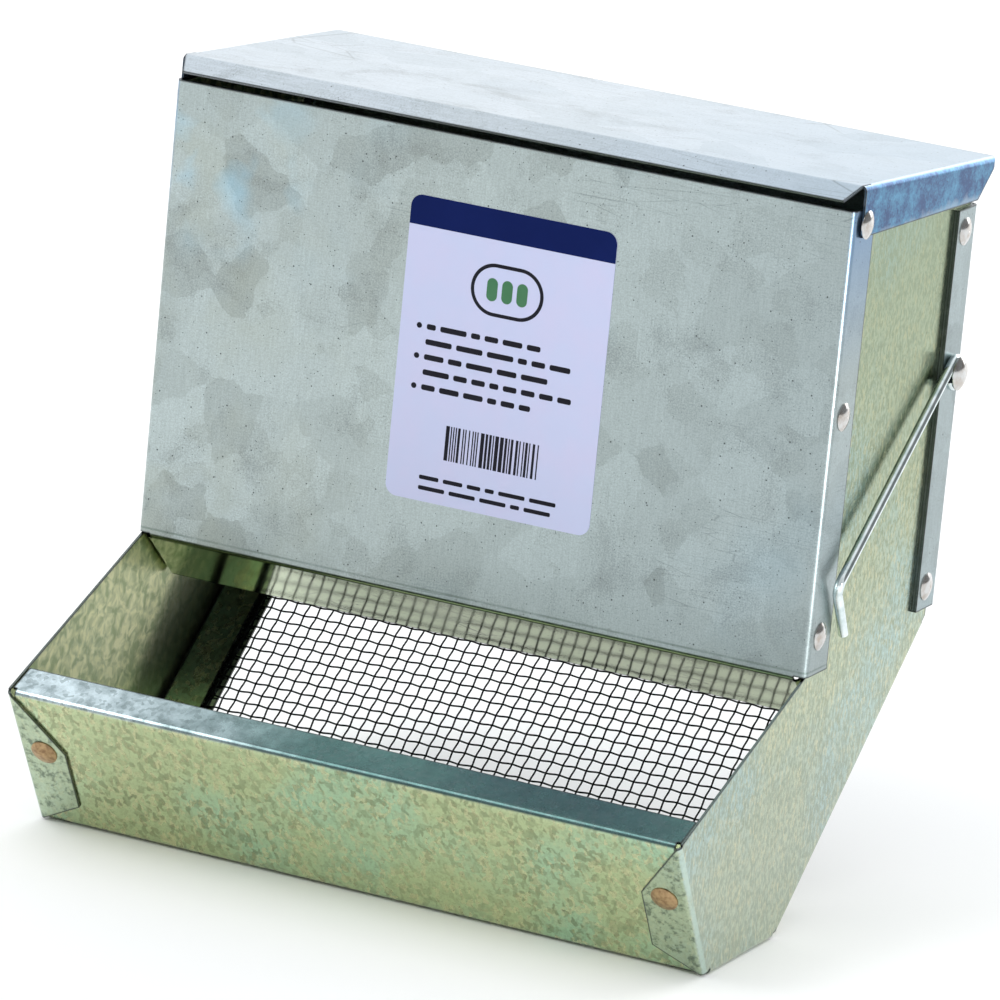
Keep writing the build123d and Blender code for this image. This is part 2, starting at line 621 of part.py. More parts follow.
with BuildPart() as right_hook:
    with BuildLine(hook_plane) as wire:
        CenterArc((0, 0), LOOP, 90, LOOP_TURN)
        FilletPolyline(
            (0, LOOP, 0),
            (arm_length, LOOP, 0),
            hook_place(HOOK_JOG, HOOK_JOG_IN),
            hook_place(HOOK_TIP, HOOK_JOG_IN),
            radius=HOOK_RADII,
        )
    with BuildSketch(Plane(origin=wire.line @ 0, z_dir=wire.line % 0)):
        Circle(HOOK_WIRE / 2)
    sweep(path=wire.line)
right_hook.part.label = "right_hook"
export_step(right_hook.part, "parts/right_hook.step")

with BuildPart() as left_hook:
    mirror(right_hook.part, about=Plane.YZ)
left_hook.part.label = "left_hook"
export_step(left_hook.part, "parts/left_hook.step")


# ---- rivets ----------------------------------------------------------------
def outward(x, point):
    """A plane on the right side of the feeder that faces outwards."""
    return Plane(origin=(x, *at(point)), z_dir=(1, 0, 0))


def head_plane(face, place, side):
    """Where a rivet's head sits on one side of a face."""
    origin = face.from_local_coords((*place, side * LAP))
    return Plane(origin=origin, x_dir=(1, 0, 0), z_dir=face.z_dir * side)


def save_rivets(name, rivets):
    with BuildPart() as group:
        add(rivets)
    group.part.label = name
    export_step(group.part, f"parts/{name}.step")


def pair(solid):
    return [solid, solid.mirror(Plane.YZ)]


pivot_rivet = rivet(outward(FLAP_OUT + LAP, LID_PIVOT), FLAP_OUT + 2 * LAP - INNER)
hook_head = HOOK_X + HOOK_WIRE / 2 + HOOK_PLAY
hook_grip = hook_head + LAP - INNER
hook_face = outward(hook_head, HOOK_PIVOT)
hook_rivet = rivet(hook_face, hook_grip, HOOK_RIVET_HEAD, HOOK_RIVET_DOME, HOOK_RIVET_SHANK)
save_rivets("right_lid_pivot_rivet", [pivot_rivet])
save_rivets("left_lid_pivot_rivet", [pivot_rivet.mirror(Plane.YZ)])
save_rivets("right_hook_rivet", [hook_rivet])
save_rivets("left_hook_rivet", [hook_rivet.mirror(Plane.YZ)])

front_rivets = []
for point in FRONT_RIVETS:
    front_rivets += pair(rivet(outward(FRONT_OUT + LAP, point), FRONT_OUT + 2 * LAP - INNER))
save_rivets("hopper_front_rivets", front_rivets)

back_rivets = []
for point in BACK_RIVETS:
    back_rivets += pair(rivet(outward(HOLDER_OUT + LAP, point), HOLDER_OUT + 2 * LAP - INNER))
save_rivets("back_rivets", back_rivets)

tab_plane = head_plane(face_plane(P_FLOOR_FRONT, P_BROW), TROUGH_RIVET, 1)
save_rivets("trough_tab_rivets", pair(rivet(tab_plane, 2 * SHEET + 3 * LAP)))

ramp_face = face_plane(P_FLOOR_BACK, P_RAMP_TOP)
ramp_grip = RAMP_INSET + SHEET + 2 * LAP


def ramp_rivets(places):
    return [rivet(head_plane(ramp_face, place, -1), ramp_grip) for place in places]


save_rivets("ramp_rivets", ramp_rivets(ramp_places))
save_rivets("mesh_clamp_rivets", ramp_rivets(clamp_places))
save_rivets("back_seam_rivets", ramp_rivets(seam_places))
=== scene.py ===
import bmesh
import bpy
import math
import random
from mathutils import Matrix, Vector


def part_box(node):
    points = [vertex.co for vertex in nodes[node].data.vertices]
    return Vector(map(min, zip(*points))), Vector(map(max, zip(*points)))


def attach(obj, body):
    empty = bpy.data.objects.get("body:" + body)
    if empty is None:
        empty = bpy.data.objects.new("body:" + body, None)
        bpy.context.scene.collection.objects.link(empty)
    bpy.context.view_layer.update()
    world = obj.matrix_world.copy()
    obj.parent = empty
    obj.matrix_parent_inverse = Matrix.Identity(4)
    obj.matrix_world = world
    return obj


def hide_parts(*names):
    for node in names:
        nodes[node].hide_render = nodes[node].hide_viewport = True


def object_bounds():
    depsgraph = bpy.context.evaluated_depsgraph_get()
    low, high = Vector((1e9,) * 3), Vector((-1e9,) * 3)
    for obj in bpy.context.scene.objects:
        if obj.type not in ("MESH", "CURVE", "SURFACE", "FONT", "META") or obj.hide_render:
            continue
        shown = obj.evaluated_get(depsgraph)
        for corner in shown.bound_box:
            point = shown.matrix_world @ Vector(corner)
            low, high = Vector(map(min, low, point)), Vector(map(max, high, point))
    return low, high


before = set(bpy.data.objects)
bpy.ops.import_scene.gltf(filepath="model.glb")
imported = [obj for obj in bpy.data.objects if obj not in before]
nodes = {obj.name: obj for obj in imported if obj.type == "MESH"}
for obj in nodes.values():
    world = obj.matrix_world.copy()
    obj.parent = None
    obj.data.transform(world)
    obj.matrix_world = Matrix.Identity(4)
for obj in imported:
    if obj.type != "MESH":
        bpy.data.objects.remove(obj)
cad_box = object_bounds()
random.seed(7)

# Metres throughout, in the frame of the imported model: +X right, +Y back, +Z up.
MM = 0.001

# ---- camera, floor and light -----------------------------------------------
AZIMUTH = math.radians(24.95)
ELEVATION = math.radians(14.61)
ROLL = math.radians(5.52)
DISTANCE = 2.011
AIM = Vector((-0.0093, 0.0337, 0.0063))
LENS = 298.7                  # on a 36 mm sensor
FLOOR_SIZE = 12.0
ROOM_TINT = (0.965, 0.985, 1.0, 1)
ROOM_LEVELS = (0.68, 1.28)    # strength before and behind the object
DARK_CORNER = Vector((0.80, 0.50, 0.33)).normalized()
CORNER_REACH = (0.72, 0.9)    # cosine of the angle from the corner's middle, where it starts and is full
CORNER_LEVEL = 0.2            # share of the room's strength left in it
LIGHTS = (                    # name, place, size in metres, watts
    ("key", (-1.1, -0.9, 1.7), 1.2, 15),
    ("back", (0.5, 2.4, 1.1), 2.0, 30),
    ("edge", (0.36, -0.14, 0.0), 0.05, 0.38),
)


def add_camera():
    """A long lens from the front right, a little above, with the horizon tipped."""
    towards = Vector((
        math.sin(AZIMUTH) * math.cos(ELEVATION),
        -math.cos(AZIMUTH) * math.cos(ELEVATION),
        math.sin(ELEVATION),
    ))
    level = Vector((math.cos(AZIMUTH), math.sin(AZIMUTH), 0))
    right = Matrix.Rotation(-ROLL, 3, -towards) @ level
    up = towards.cross(right)
    data = bpy.data.cameras.new("camera")
    data.lens = LENS
    data.sensor_width = 36
    data.clip_end = 100
    camera = bpy.data.objects.new("camera", data)
    turn = Matrix((right, up, towards)).transposed()
    camera.matrix_world = Matrix.Translation(AIM + DISTANCE * towards) @ turn.to_4x4()
    bpy.context.scene.collection.objects.link(camera)
    bpy.context.scene.camera = camera


def add_soft_light(name, place, size, power):
    """A square soft light that faces the object."""
    data = bpy.data.lights.new(name, "AREA")
    data.size = size
    data.energy = power
    light = bpy.data.objects.new(name, data)
    light.location = place
    light.rotation_euler = (-Vector(place)).to_track_quat("-Z", "Y").to_euler()
    bpy.context.scene.collection.objects.link(light)


def add_world():
    """A soft white room, brighter behind than before the object, with a dark corner at the back right."""
    world = bpy.data.worlds.new("studio")
    world.use_nodes = True
    tree = world.node_tree

    def level(source, low, high, start, end):
        made = tree.nodes.new("ShaderNodeMapRange")
        made.interpolation_type = "SMOOTHSTEP"
        for name, value in (("From Min", low), ("From Max", high), ("To Min", start), ("To Max", end)):
            made.inputs[name].default_value = value
        tree.links.new(source, made.inputs["Value"])
        return made.outputs[0]

    place = tree.nodes.new("ShaderNodeTexCoord").outputs["Generated"]
    parts = tree.nodes.new("ShaderNodeSeparateXYZ")
    tree.links.new(place, parts.inputs[0])
    corner = tree.nodes.new("ShaderNodeVectorMath")
    corner.operation = "DOT_PRODUCT"
    corner.inputs[1].default_value = DARK_CORNER
    tree.links.new(place, corner.inputs[0])
    strength = tree.nodes.new("ShaderNodeMath")
    strength.operation = "MULTIPLY"
    tree.links.new(level(parts.outputs["Y"], -0.9, 0.9, *ROOM_LEVELS), strength.inputs[0])
    tree.links.new(level(corner.outputs["Value"], *CORNER_REACH, 1.0, CORNER_LEVEL), strength.inputs[1])
    back = tree.nodes["Background"]
    back.inputs["Color"].default_value = ROOM_TINT
    tree.links.new(strength.outputs[0], back.inputs["Strength"])
    bpy.context.scene.world = world


def srgb(red, green, blue):
    """A colour given as it looks on a screen, 0 to 255, in linear light."""
    def linear(value):
        value /= 255
        return value / 12.92 if value <= 0.04045 else ((value + 0.055) / 1.055) ** 2.4
    return (linear(red), linear(green), linear(blue), 1.0)


# ---- materials -------------------------------------------------------------
class Finish:
    """A node material under construction, with short calls for the nodes it needs."""

    def __init__(self, name, metallic=1.0, specular=0.5):
        self.material = bpy.data.materials.new(name)
        self.material.use_nodes = True
        self.tree = self.material.node_tree
        self.tree.nodes.clear()
        self.shader = self.node("ShaderNodeBsdfPrincipled")
        self.shader.inputs["Metallic"].default_value = metallic
        self.shader.inputs["Specular IOR Level"].default_value = specular
        output = self.node("ShaderNodeOutputMaterial")
        self.tree.links.new(self.shader.outputs[0], output.inputs[0])
        self.place = self.node("ShaderNodeTexCoord").outputs["Object"]

    def node(self, kind, inputs=None, **settings):
        made = self.tree.nodes.new(kind)
        for name, value in settings.items():
            setattr(made, name, value)
        for name, value in (inputs or {}).items():
            self.put(made.inputs[name], value)
        return made

    def put(self, socket, value):
        """A socket takes a number or colour, or the output of another node."""
        if isinstance(value, bpy.types.NodeSocket):
            self.tree.links.new(value, socket)
        else:
            socket.default_value = value

    def stretched(self, scale):
        return self.node("ShaderNodeMapping", {"Vector": self.place, "Scale": scale}).outputs[0]

    def turned(self, vector, turn, scale):
        return self.node("ShaderNodeMapping", {"Vector": vector, "Rotation": turn, "Scale": scale}).outputs[0]

    def noise(self, scale, vector=None, detail=2.0, rough=0.5, warp=0.0):
        made = self.node("ShaderNodeTexNoise", {
            "Vector": vector or self.place, "Scale": scale,
            "Detail": detail, "Roughness": rough, "Distortion": warp,
        })
        return made.outputs["Fac"]

    def warped(self, scale, amount):
        """The place, pushed about by a coloured noise, so that cell edges wander."""
        push = self.node("ShaderNodeTexNoise", {"Vector": self.place, "Scale": scale, "Detail": 3.0})
        centred = self.vector("SUBTRACT", push.outputs["Color"], (0.5, 0.5, 0.5))
        return self.vector("ADD", self.place, self.vector("SCALE", centred, amount))

    def vector(self, operation, first, second):
        made = self.node("ShaderNodeVectorMath", operation=operation)
        self.put(made.inputs[0], first)
        self.put(made.inputs["Scale" if operation == "SCALE" else 1], second)
        return made.outputs[0]

    def cells(self, scale, vector):
        """Crystals: one random grey for each cell."""
        made = self.node("ShaderNodeTexVoronoi", {"Vector": vector, "Scale": scale})
        return self.node("ShaderNodeSeparateColor", {"Color": made.outputs["Color"]}).outputs[0]

    def span(self, value, low, high, start=0.0, end=1.0):
        """start up to low, end from high on, and a straight slope between."""
        made = self.node("ShaderNodeMapRange", {
            "Value": value, "From Min": low, "From Max": high, "To Min": start, "To Max": end,
        })
        return made.outputs[0]

    def sum(self, first, second, share=1.0):
        """first and a share of second."""
        made = self.node("ShaderNodeMath", operation="MULTIPLY_ADD")
        for socket, value in zip(made.inputs, (second, share, first)):
            self.put(socket, value)
        return made.outputs[0]

    def product(self, first, second):
        made = self.node("ShaderNodeMath", operation="MULTIPLY")
        self.put(made.inputs[0], first)
        self.put(made.inputs[1], second)
        return made.outputs[0]

    def mix(self, factor, first, second):
        """first at factor 0, second at 1."""
        made = self.node("ShaderNodeMix", data_type="RGBA")
        for socket, value in ((made.inputs[0], factor), (made.inputs[6], first), (made.inputs[7], second)):
            self.put(socket, value)
        return made.outputs[2]

    def finish(self, colour, roughness, height=None, depth=0.0):
        self.put(self.shader.inputs["Base Color"], colour)
        self.put(self.shader.inputs["Roughness"], roughness)
        if height is not None:
            bump = self.node("ShaderNodeBump", {"Height": height, "Strength": 1.0, "Distance": depth})
            self.put(self.shader.inputs["Normal"], bump.outputs[0])
        return self.material


EDGE_DEPTH = 0.5 * MM         # less than the sheet is thick
SCUFF_RADIUS = 0.8 * MM
STEEL = (0.045, 0.05, 0.05, 1)


def cut_edges(made, colour):
    """Sheared edges show bare dark steel: there, both faces of the sheet are near."""
    inside = made.node(
        "ShaderNodeAmbientOcclusion", {"Distance": EDGE_DEPTH}, samples=8, inside=True, only_local=True,
    )
    return made.mix(made.span(inside.outputs["AO"], 0.7, 0.95, 0.95, 0.0), colour, STEEL)


def scuffs(made):
    """Worn patches along sharp edges: 0 on the flat, up to 1 near an edge."""
    rounded_off = made.node("ShaderNodeBevel", {"Radius": SCUFF_RADIUS}, samples=3)
    true = made.node("ShaderNodeNewGeometry").outputs["True Normal"]
    alike = made.node("ShaderNodeVectorMath", operation="DOT_PRODUCT")
    made.put(alike.inputs[0], rounded_off.outputs[0])
    made.put(alike.inputs[1], true)
    near_edge = made.span(alike.outputs["Value"], 0.995, 0.9)
    return made.product(near_edge, made.span(made.noise(420, detail=3.0), 0.5, 0.62))


def side_of(made, axis):
    """One coordinate of the place, and its distance from the middle."""
    value = made.node("ShaderNodeSeparateXYZ", {"Vector": made.place}).outputs[axis]
    return value, made.node("ShaderNodeMath", {0: value}, operation="ABSOLUTE").outputs[0]


def pits(made, scale, size, share):
    """Round dark specks, in a random share of the cells of a grid."""
    spots = made.node("ShaderNodeTexVoronoi", {"Vector": made.place, "Scale": scale})
    chosen = made.node("ShaderNodeSeparateColor", {"Color": spots.outputs["Color"]}).outputs[1]
    here = made.span(chosen, 1 - share, 1 - share + 0.01)
    return made.product(here, made.span(spots.outputs["Distance"], size, size * 0.5))


def scratches(made, scale, turn):
    """Hair lines: thin long cells' edges, kept only in a few places."""
    where = made.turned(made.place, turn, scale)
    lines = made.node("ShaderNodeTexVoronoi", {"Vector": where, "Scale": 1.0}, feature="DISTANCE_TO_EDGE")
    here = made.span(made.noise(26, detail=1.0), 0.58, 0.66)
    return made.product(here, made.span(lines.outputs["Distance"], 0.012, 0.0))


# Streaks and brush marks run long where a scale is small; scratches are thin, long cells.
STREAK_SCALES = {"Z": (1900, 1900, 150), "X": (150, 1900, 1900)}
BRUSH_SCALES = {"Z": (500, 2600, 2600), "X": (2600, 500, 2600)}
STREAK_GREY = (0.19, 0.225, 0.225, 1)
BRUSH_GREY = (0.21, 0.24, 0.235, 1)
CLOUD_GREY = (0.15, 0.165, 0.16, 1)
SCRATCH_GREY = (0.10, 0.12, 0.12, 1)
PIT_GREY = (0.03, 0.035, 0.035, 1)
ZINC_ROUGHNESS = 0.3


def bright_sheet(name, base, dull, cool, along="Z", tint=None):
    """Cool grey hot-dip zinc: overlapping crystals, grainy clouds, rolling streaks, pits, bluish patches."""
    made = Finish(name)
    crystals = made.cells(62, made.warped(190, 0.0045))
    small_crystals = made.cells(135, made.warped(300, 0.003))
    clouds = made.noise(46, detail=7.0, rough=0.68, warp=0.6)
    grain = made.noise(2400, detail=2.0, rough=0.7)
    streaks = made.noise(1.0, made.stretched(STREAK_SCALES[along]), detail=3.0, rough=0.65)
    brushed = made.noise(1.0, made.stretched(BRUSH_SCALES[along]), detail=3.0, rough=0.7)
    specks = made.sum(pits(made, 400, 0.11, 0.38), pits(made, 820, 0.14, 0.25))
    speckle = made.span(made.sum(grain, clouds, 0.6), 0.62, 0.9, 0.15, 1.0)
    colour = made.mix(made.span(crystals, 0.0, 0.9, 0.0, 0.34), base, dull)
    colour = made.mix(made.span(grain, 0.4, 0.62, 0.0, 0.5), colour, dull)
    colour = made.mix(made.product(made.span(crystals, 0.66, 0.86, 0.0, 0.5), speckle), colour, dull)
    colour = made.mix(made.product(made.span(small_crystals, 0.72, 0.88, 0.0, 0.5), speckle), colour, dull)
    colour = made.mix(made.span(made.noise(21, detail=3.0), 0.58, 0.74, 0.0, 0.16), colour, cool)
    colour = made.mix(made.span(streaks, 0.36, 0.74, 0.0, 0.24), colour, STREAK_GREY)
    colour = made.mix(made.span(brushed, 0.5, 0.72, 0.0, 0.3), colour, BRUSH_GREY)
    colour = made.mix(made.span(made.sum(clouds, grain, 0.4), 0.74, 0.98, 0.0, 0.5), colour, CLOUD_GREY)
    roughness = made.span(crystals, 0, 1, ZINC_ROUGHNESS - 0.03, ZINC_ROUGHNESS + 0.03)
    roughness = made.sum(roughness, clouds, 0.06)
    if tint:
        colour, roughness = tint(made, colour, roughness, streaks)
    long_lines = scratches(made, (20, 20, 240), (0.3, 1.35, 0.2))
    lines = made.sum(long_lines, scratches(made, (26, 26, 300), (0.1, 0.9, 0.5)))
    colour = made.mix(made.product(lines, 0.4), colour, SCRATCH_GREY)
    colour = made.mix(made.product(specks, 0.85), colour, PIT_GREY)
    colour = made.mix(made.product(scuffs(made), 0.5), colour, srgb(226, 232, 240))
    height = made.sum(made.sum(made.sum(streaks, specks, -1.5), lines, -0.8), made.noise(9), 60.0)
    return made.finish(cut_edges(made, colour), roughness, height, 0.0000045)


def olive_sheet(name, base, dark, pale, cyan, flake, rough, tint=None):
    """Yellow-green zinc with lens-shaped flakes, smooth enough to mirror what stands off it."""
    made = Finish(name)
    where = made.warped(420, 0.0022)
    flakes = made.cells(1.0, made.turned(where, (0.5, 0.7, 0.4), flake))
    more = made.cells(1.0, made.turned(where, (-0.7, -0.6, 0.3), flake))
    fine = made.noise(1100, detail=3.0, rough=0.7, warp=0.8)
    clouds = made.noise(34, detail=3.0)
    colour = made.mix(made.span(made.noise(26, detail=2.0), 0.46, 0.62, 0.0, 0.7), base, cyan)
    colour = made.mix(made.span(flakes, 0.55, 0.9, 0.0, 0.6), colour, pale)
    shade = made.product(made.span(more, 0.5, 0.9, 0.0, 0.62), made.span(clouds, 0.35, 0.62, 0.45, 1))
    colour = made.mix(shade, colour, dark)
    colour = made.mix(made.span(fine, 0.5, 0.72, 0.0, 0.5), colour, dark)
    roughness = made.sum(made.span(flakes, 0, 1, rough, rough + 0.1), fine, 0.06)
    height = made.sum(made.sum(fine, more, 0.35), made.noise(12), 18.0)
    if tint:
        colour, roughness, height = tint(made, colour, roughness, height)
    colour = made.mix(made.product(scuffs(made), 0.5), colour, srgb(206, 220, 226))
    return made.finish(cut_edges(made, colour), roughness, height, 0.000012)


def plain_metal(name, base, dark, roughness, scale=500, depth=0.00001):
    """Small metal pieces: a slightly blotched colour over shallow hammer and draw marks."""
    made = Finish(name)
    blotch = made.noise(scale, detail=3.0, rough=0.6)
    wide = made.noise(scale / 6, detail=2.0)
    colour = made.mix(made.span(blotch, 0.4, 0.7), base, dark)
    rough = made.span(made.sum(blotch, wide, 0.5), 0.4, 1.1, roughness * 0.75, roughness * 1.3)
    return made.finish(colour, rough, made.sum(wide, blotch, 0.4), depth)


def print_film(name, colour, shade, roughness, specular=0.25):
    """Glossy printed film, with a faint mottle from the sheet under it."""
    made = Finish(name, metallic=0.0, specular=specular)
    mottle = made.noise(90, detail=3.0)
    tone = made.mix(made.span(mottle, 0.42, 0.66, 0.0, 0.5), colour, shade)
    rough = made.span(made.noise(700), 0.3, 0.7, roughness, roughness + 0.12)
    return made.finish(tone, rough, mottle, 0.00012)


def floor_finish():
    """Nearly white, matt, barely clouded."""
    made = Finish("pale_floor", metallic=0.0, specular=0.2)
    colour = made.mix(made.noise(4, detail=4.0), srgb(252, 252, 252), srgb(255, 255, 255))
    return made.finish(colour, 0.85)


# ---- mesh building ---------------------------------------------------------
def piece(name, mesh, material, body="root"):
    """A finished mesh as a named piece that rides a body."""
    mesh.materials.append(material)
    made = bpy.data.objects.new(name, mesh)
    bpy.context.scene.collection.objects.link(made)
    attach(made, body)
    return made


def add_plate(shape, outline, front, thickness):
    """A thin closed plate that faces -Y: outline points are (x, z), front its face's y."""
    near = [shape.verts.new((x, front, z)) for x, z in outline]
    far = [shape.verts.new((x, front + thickness, z)) for x, z in outline]
    shape.faces.new(near)
    shape.faces.new(list(reversed(far)))
    for index, first in enumerate(near):
        following = (index + 1) % len(near)
        shape.faces.new((first, far[index], far[following], near[following]))


def rounded(left, right, low, high, radii, steps=6):
    """Outline of a box with its corners rounded: radii from the lower left, anticlockwise."""
    corners = ((left, low, 1, 1), (right, low, -1, 1), (right, high, -1, -1), (left, high, 1, -1))
    outline = []
    for number, ((x, z, inx, inz), radius) in enumerate(zip(corners, radii)):
        if radius == 0:
            outline.append((x, z))
            continue
        for step in range(steps + 1):
            angle = math.pi + (number + step / steps) * math.pi / 2
            outline.append((x + radius * (inx + math.cos(angle)), z + radius * (inz + math.sin(angle))))
    return outline


def pill(x, z, half_width, half_height, steps=6):
    """Outline of a box round (x, z) whose short ends are half circles."""
    radii = (min(half_width, half_height),) * 4
    return rounded(x - half_width, x + half_width, z - half_height, z + half_height, radii, steps)


def finished_mesh(shape, name, smooth=False):
    """The shape as a mesh, with its faces turned outwards."""
    bmesh.ops.recalc_face_normals(shape, faces=shape.faces)
    mesh = bpy.data.meshes.new(name)
    shape.to_mesh(mesh)
    shape.free()
    for polygon in mesh.polygons:
        polygon.use_smooth = smooth
    return mesh


# ---- woven sifter mesh -----------------------------------------------------
PITCH = 3.175 * MM
WIRE_RADIUS = 0.25 * MM
WIRE_SIDES = 6
STEPS = 4                     # rings of a wire between two crossings
WAVE = 1.02 * WIRE_RADIUS     # the wires just clear each other where they cross


def add_wire(shape, path, across, out):
    """A closed tube along a path that waves only in the plane square to across."""
    rings = []
    for index, point in enumerate(path):
        before = path[max(index - 1, 0)]
        after = path[min(index + 1, len(path) - 1)]
        square = (after - before).normalized().cross(across).normalized()
        if square.dot(out) < 0:
            square.negate()
        ring = []
        for side in range(WIRE_SIDES):
            angle = 2 * math.pi * side / WIRE_SIDES
            offset = WIRE_RADIUS * (math.cos(angle) * across + math.sin(angle) * square)
            ring.append(shape.verts.new(point + offset))
        rings.append(ring)
    for one, two in zip(rings, rings[1:]):
        for side in range(WIRE_SIDES):
            following = (side + 1) % WIRE_SIDES
            shape.faces.new((one[side], one[following], two[following], two[side]))
    shape.faces.new(list(reversed(rings[0])))
    shape.faces.new(rings[-1])


def woven_mesh(material):
    """Both sets of wires, each waving over and under the other, in the space of the CAD wires."""
    low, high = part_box("mesh_long_wires")
    first = Vector((0, low.y + WIRE_RADIUS, low.z + WIRE_RADIUS))
    last = Vector((0, high.y - WIRE_RADIUS, high.z - WIRE_RADIUS))
    rise = (last - first).normalized()
    across = Vector((1, 0, 0))
    out = across.cross(rise)
    length = (last - first).length
    rows = round(length / PITCH) + 1
    short_low, short_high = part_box("mesh_short_wires")
    side_wires = round((short_high.x - WIRE_RADIUS) / PITCH)
    half = high.x
    middle = first + out * WAVE

    shape = bmesh.new()
    for row in range(rows):
        path = []
        count = 2 * side_wires * STEPS
        ends = [-half, *(PITCH * (step / STEPS - side_wires) for step in range(count + 1)), half]
        drift = 0.10 * PITCH * (random.random() - 0.5)
        for x in ends:
            phase = math.cos(math.pi * (x / PITCH + row))
            stray = drift * math.sin(x * 21 + row)
            path.append(middle + across * x + rise * (row * PITCH + stray) + out * WAVE * phase)
        add_wire(shape, path, rise, out)
    mesh = finished_mesh(shape, "woven_long_wires", True)
    long_wires = piece("woven_long_wires", mesh, material)
    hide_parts("mesh_long_wires")

    shape = bmesh.new()
    spare = short_high - short_low
    over = (Vector((0, spare.y, spare.z)).length - length) / 2 - WIRE_RADIUS
    for column in range(-side_wires, side_wires + 1):
        drift = 0.12 * PITCH * (random.random() - 0.5)
        count = (rows - 1) * STEPS
        path = []
        for up in [-over, *(PITCH * step / STEPS for step in range(count + 1)), length + over]:
            phase = -math.cos(math.pi * (up / PITCH + column))
            stray = drift * math.sin(up * 60 + column)
            path.append(middle + across * (column * PITCH + stray) + rise * up + out * WAVE * phase)
        add_wire(shape, path, across, out)
    mesh = finished_mesh(shape, "woven_short_wires", True)
    short_wires = piece("woven_short_wires", mesh, material)
    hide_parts("mesh_short_wires")


# ---- label print -----------------------------------------------------------
# Nothing on it is a real mark or stands for real words.
INK = 0.02 * MM               # each printed layer's thickness
FILM = 0.12 * MM
LABEL_SIZE = (54.4 * MM, 74.0 * MM)
LABEL_CENTRE = (3.1 * MM, 48.6 * MM)
BAND = 0.099                  # height of the header band, as a share of the label's
CORNER = 3.0 * MM
BAR = 1.35 * MM               # height of a greeked line
FOOT_BAR = 0.75 * BAR
# Places on the label are shares of its width from the left, and of its height from the top.
ROWS = (0.425, 0.475, 0.525, 0.575, 0.625)
ROW_START = 0.13
ROW_STOPS = (0.66, 0.9)       # each row stops somewhere between these
DOT_RADIUS = 0.7 * MM
DOT_INDENT = 2 * MM
FOOT_ROWS = (0.92, 0.955)
FOOT_ROW_ENDS = (0.16, 0.84)
WORDS = (2.4 * MM, 3.6 * MM, 5.2 * MM, 7.0 * MM)
WORD_GAP = 1.2 * MM
CODE = (0.27, 0.73, 0.735, 0.85)    # left, right, top and foot of the block of bars
CODE_BARS = (0.32 * MM, 0.32 * MM, 0.64 * MM, 0.96 * MM)
CODE_GAPS = (0.32 * MM, 0.32 * MM, 0.64 * MM)
EMBLEM_PLACE = (0.50, 0.262)
EMBLEM_RADIUS = 6.4 * MM


def add_row(shape, start, stop, z, front, tallness):
    """One greeked line: bars of seeded lengths that stand for no particular words."""
    x = start
    while x < stop - WORDS[0]:
        end = min(x + random.choice(WORDS), stop)
        outline = rounded(x, end, z - tallness / 2, z + tallness / 2, (tallness * 0.35,) * 4)
        add_plate(shape, outline, front, INK)
        x = end + WORD_GAP


def label_print(film, navy, ink, accent):
    """Header band, a plain badge, greeked lines and a block of bars on the front label."""
    panel_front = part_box("hopper_front_panel")[0].y
    front = panel_front - FILM - INK
    wide, tall = LABEL_SIZE
    left_edge, right_edge = (LABEL_CENTRE[0] + side * wide / 2 for side in (-1, 1))
    foot_edge, top_edge = (LABEL_CENTRE[1] + side * tall / 2 for side in (-1, 1))

    def spot(across, down):
        return left_edge + across * wide, top_edge - down * tall

    sheet = bmesh.new()
    outline = rounded(left_edge, right_edge, foot_edge, top_edge, (CORNER,) * 4, 10)
    add_plate(sheet, outline, panel_front - FILM, FILM)
    piece("label_film", finished_mesh(sheet, "label_film"), film)

    band = bmesh.new()
    outline = rounded(left_edge, right_edge, spot(0, BAND)[1], top_edge, (0, 0, CORNER, CORNER), 10)
    add_plate(band, outline, front, INK)
    piece("label_band", finished_mesh(band, "label_band"), navy)

    lines = bmesh.new()
    for number, down in enumerate(ROWS):
        x, z = spot(ROW_START, down)
        add_row(lines, x, spot(random.uniform(*ROW_STOPS), 0)[0], z, front, BAR)
        if number % 2 == 0:
            add_plate(lines, pill(x - DOT_INDENT, z, DOT_RADIUS, DOT_RADIUS), front, INK)
    for down in FOOT_ROWS:
        x, z = spot(FOOT_ROW_ENDS[0], down)
        add_row(lines, x, spot(FOOT_ROW_ENDS[1], 0)[0], z, front, FOOT_BAR)
    left, right, top, foot = CODE
    x, stop = spot(left, 0)[0], spot(right, 0)[0]
    while x < stop:
        width = random.choice(CODE_BARS)
        outline = rounded(x, min(x + width, stop), spot(0, foot)[1], spot(0, top)[1], (0,) * 4)
        add_plate(lines, outline, front, INK)
        x += width + random.choice(CODE_GAPS)
    piece("label_lines", finished_mesh(lines, "label_lines"), ink)

    x, z = spot(*EMBLEM_PLACE)
    radius = EMBLEM_RADIUS
    badge = bmesh.new()
    add_plate(badge, pill(x, z, 1.5 * radius, radius, 14), front, INK)
    piece("label_badge", finished_mesh(badge, "label_badge"), ink)
    field = bmesh.new()
    add_plate(field, pill(x, z, 1.36 * radius, 0.86 * radius, 14), front - INK, INK)
    piece("label_badge_field", finished_mesh(field, "label_badge_field"), film)
    grains = bmesh.new()
    size = 0.22 * radius
    for offset in (-0.62, 0.0, 0.62):
        add_plate(grains, pill(x + offset * radius, z, size, 2 * size, 8), front - 2 * INK, INK)
    piece("label_badge_grains", finished_mesh(grains, "label_badge_grains"), accent)


# ---- what differs from place to place --------------------------------------
BAFFLE_DROP = 12.6 * MM       # the feed baffle hangs this far below the hopper front's fold
BROW_HEIGHT = 36.0 * MM       # of the fold between the trough's front and its lip
LIP_RUN = 13 * MM             # the lip ends this far behind the pan's foremost point


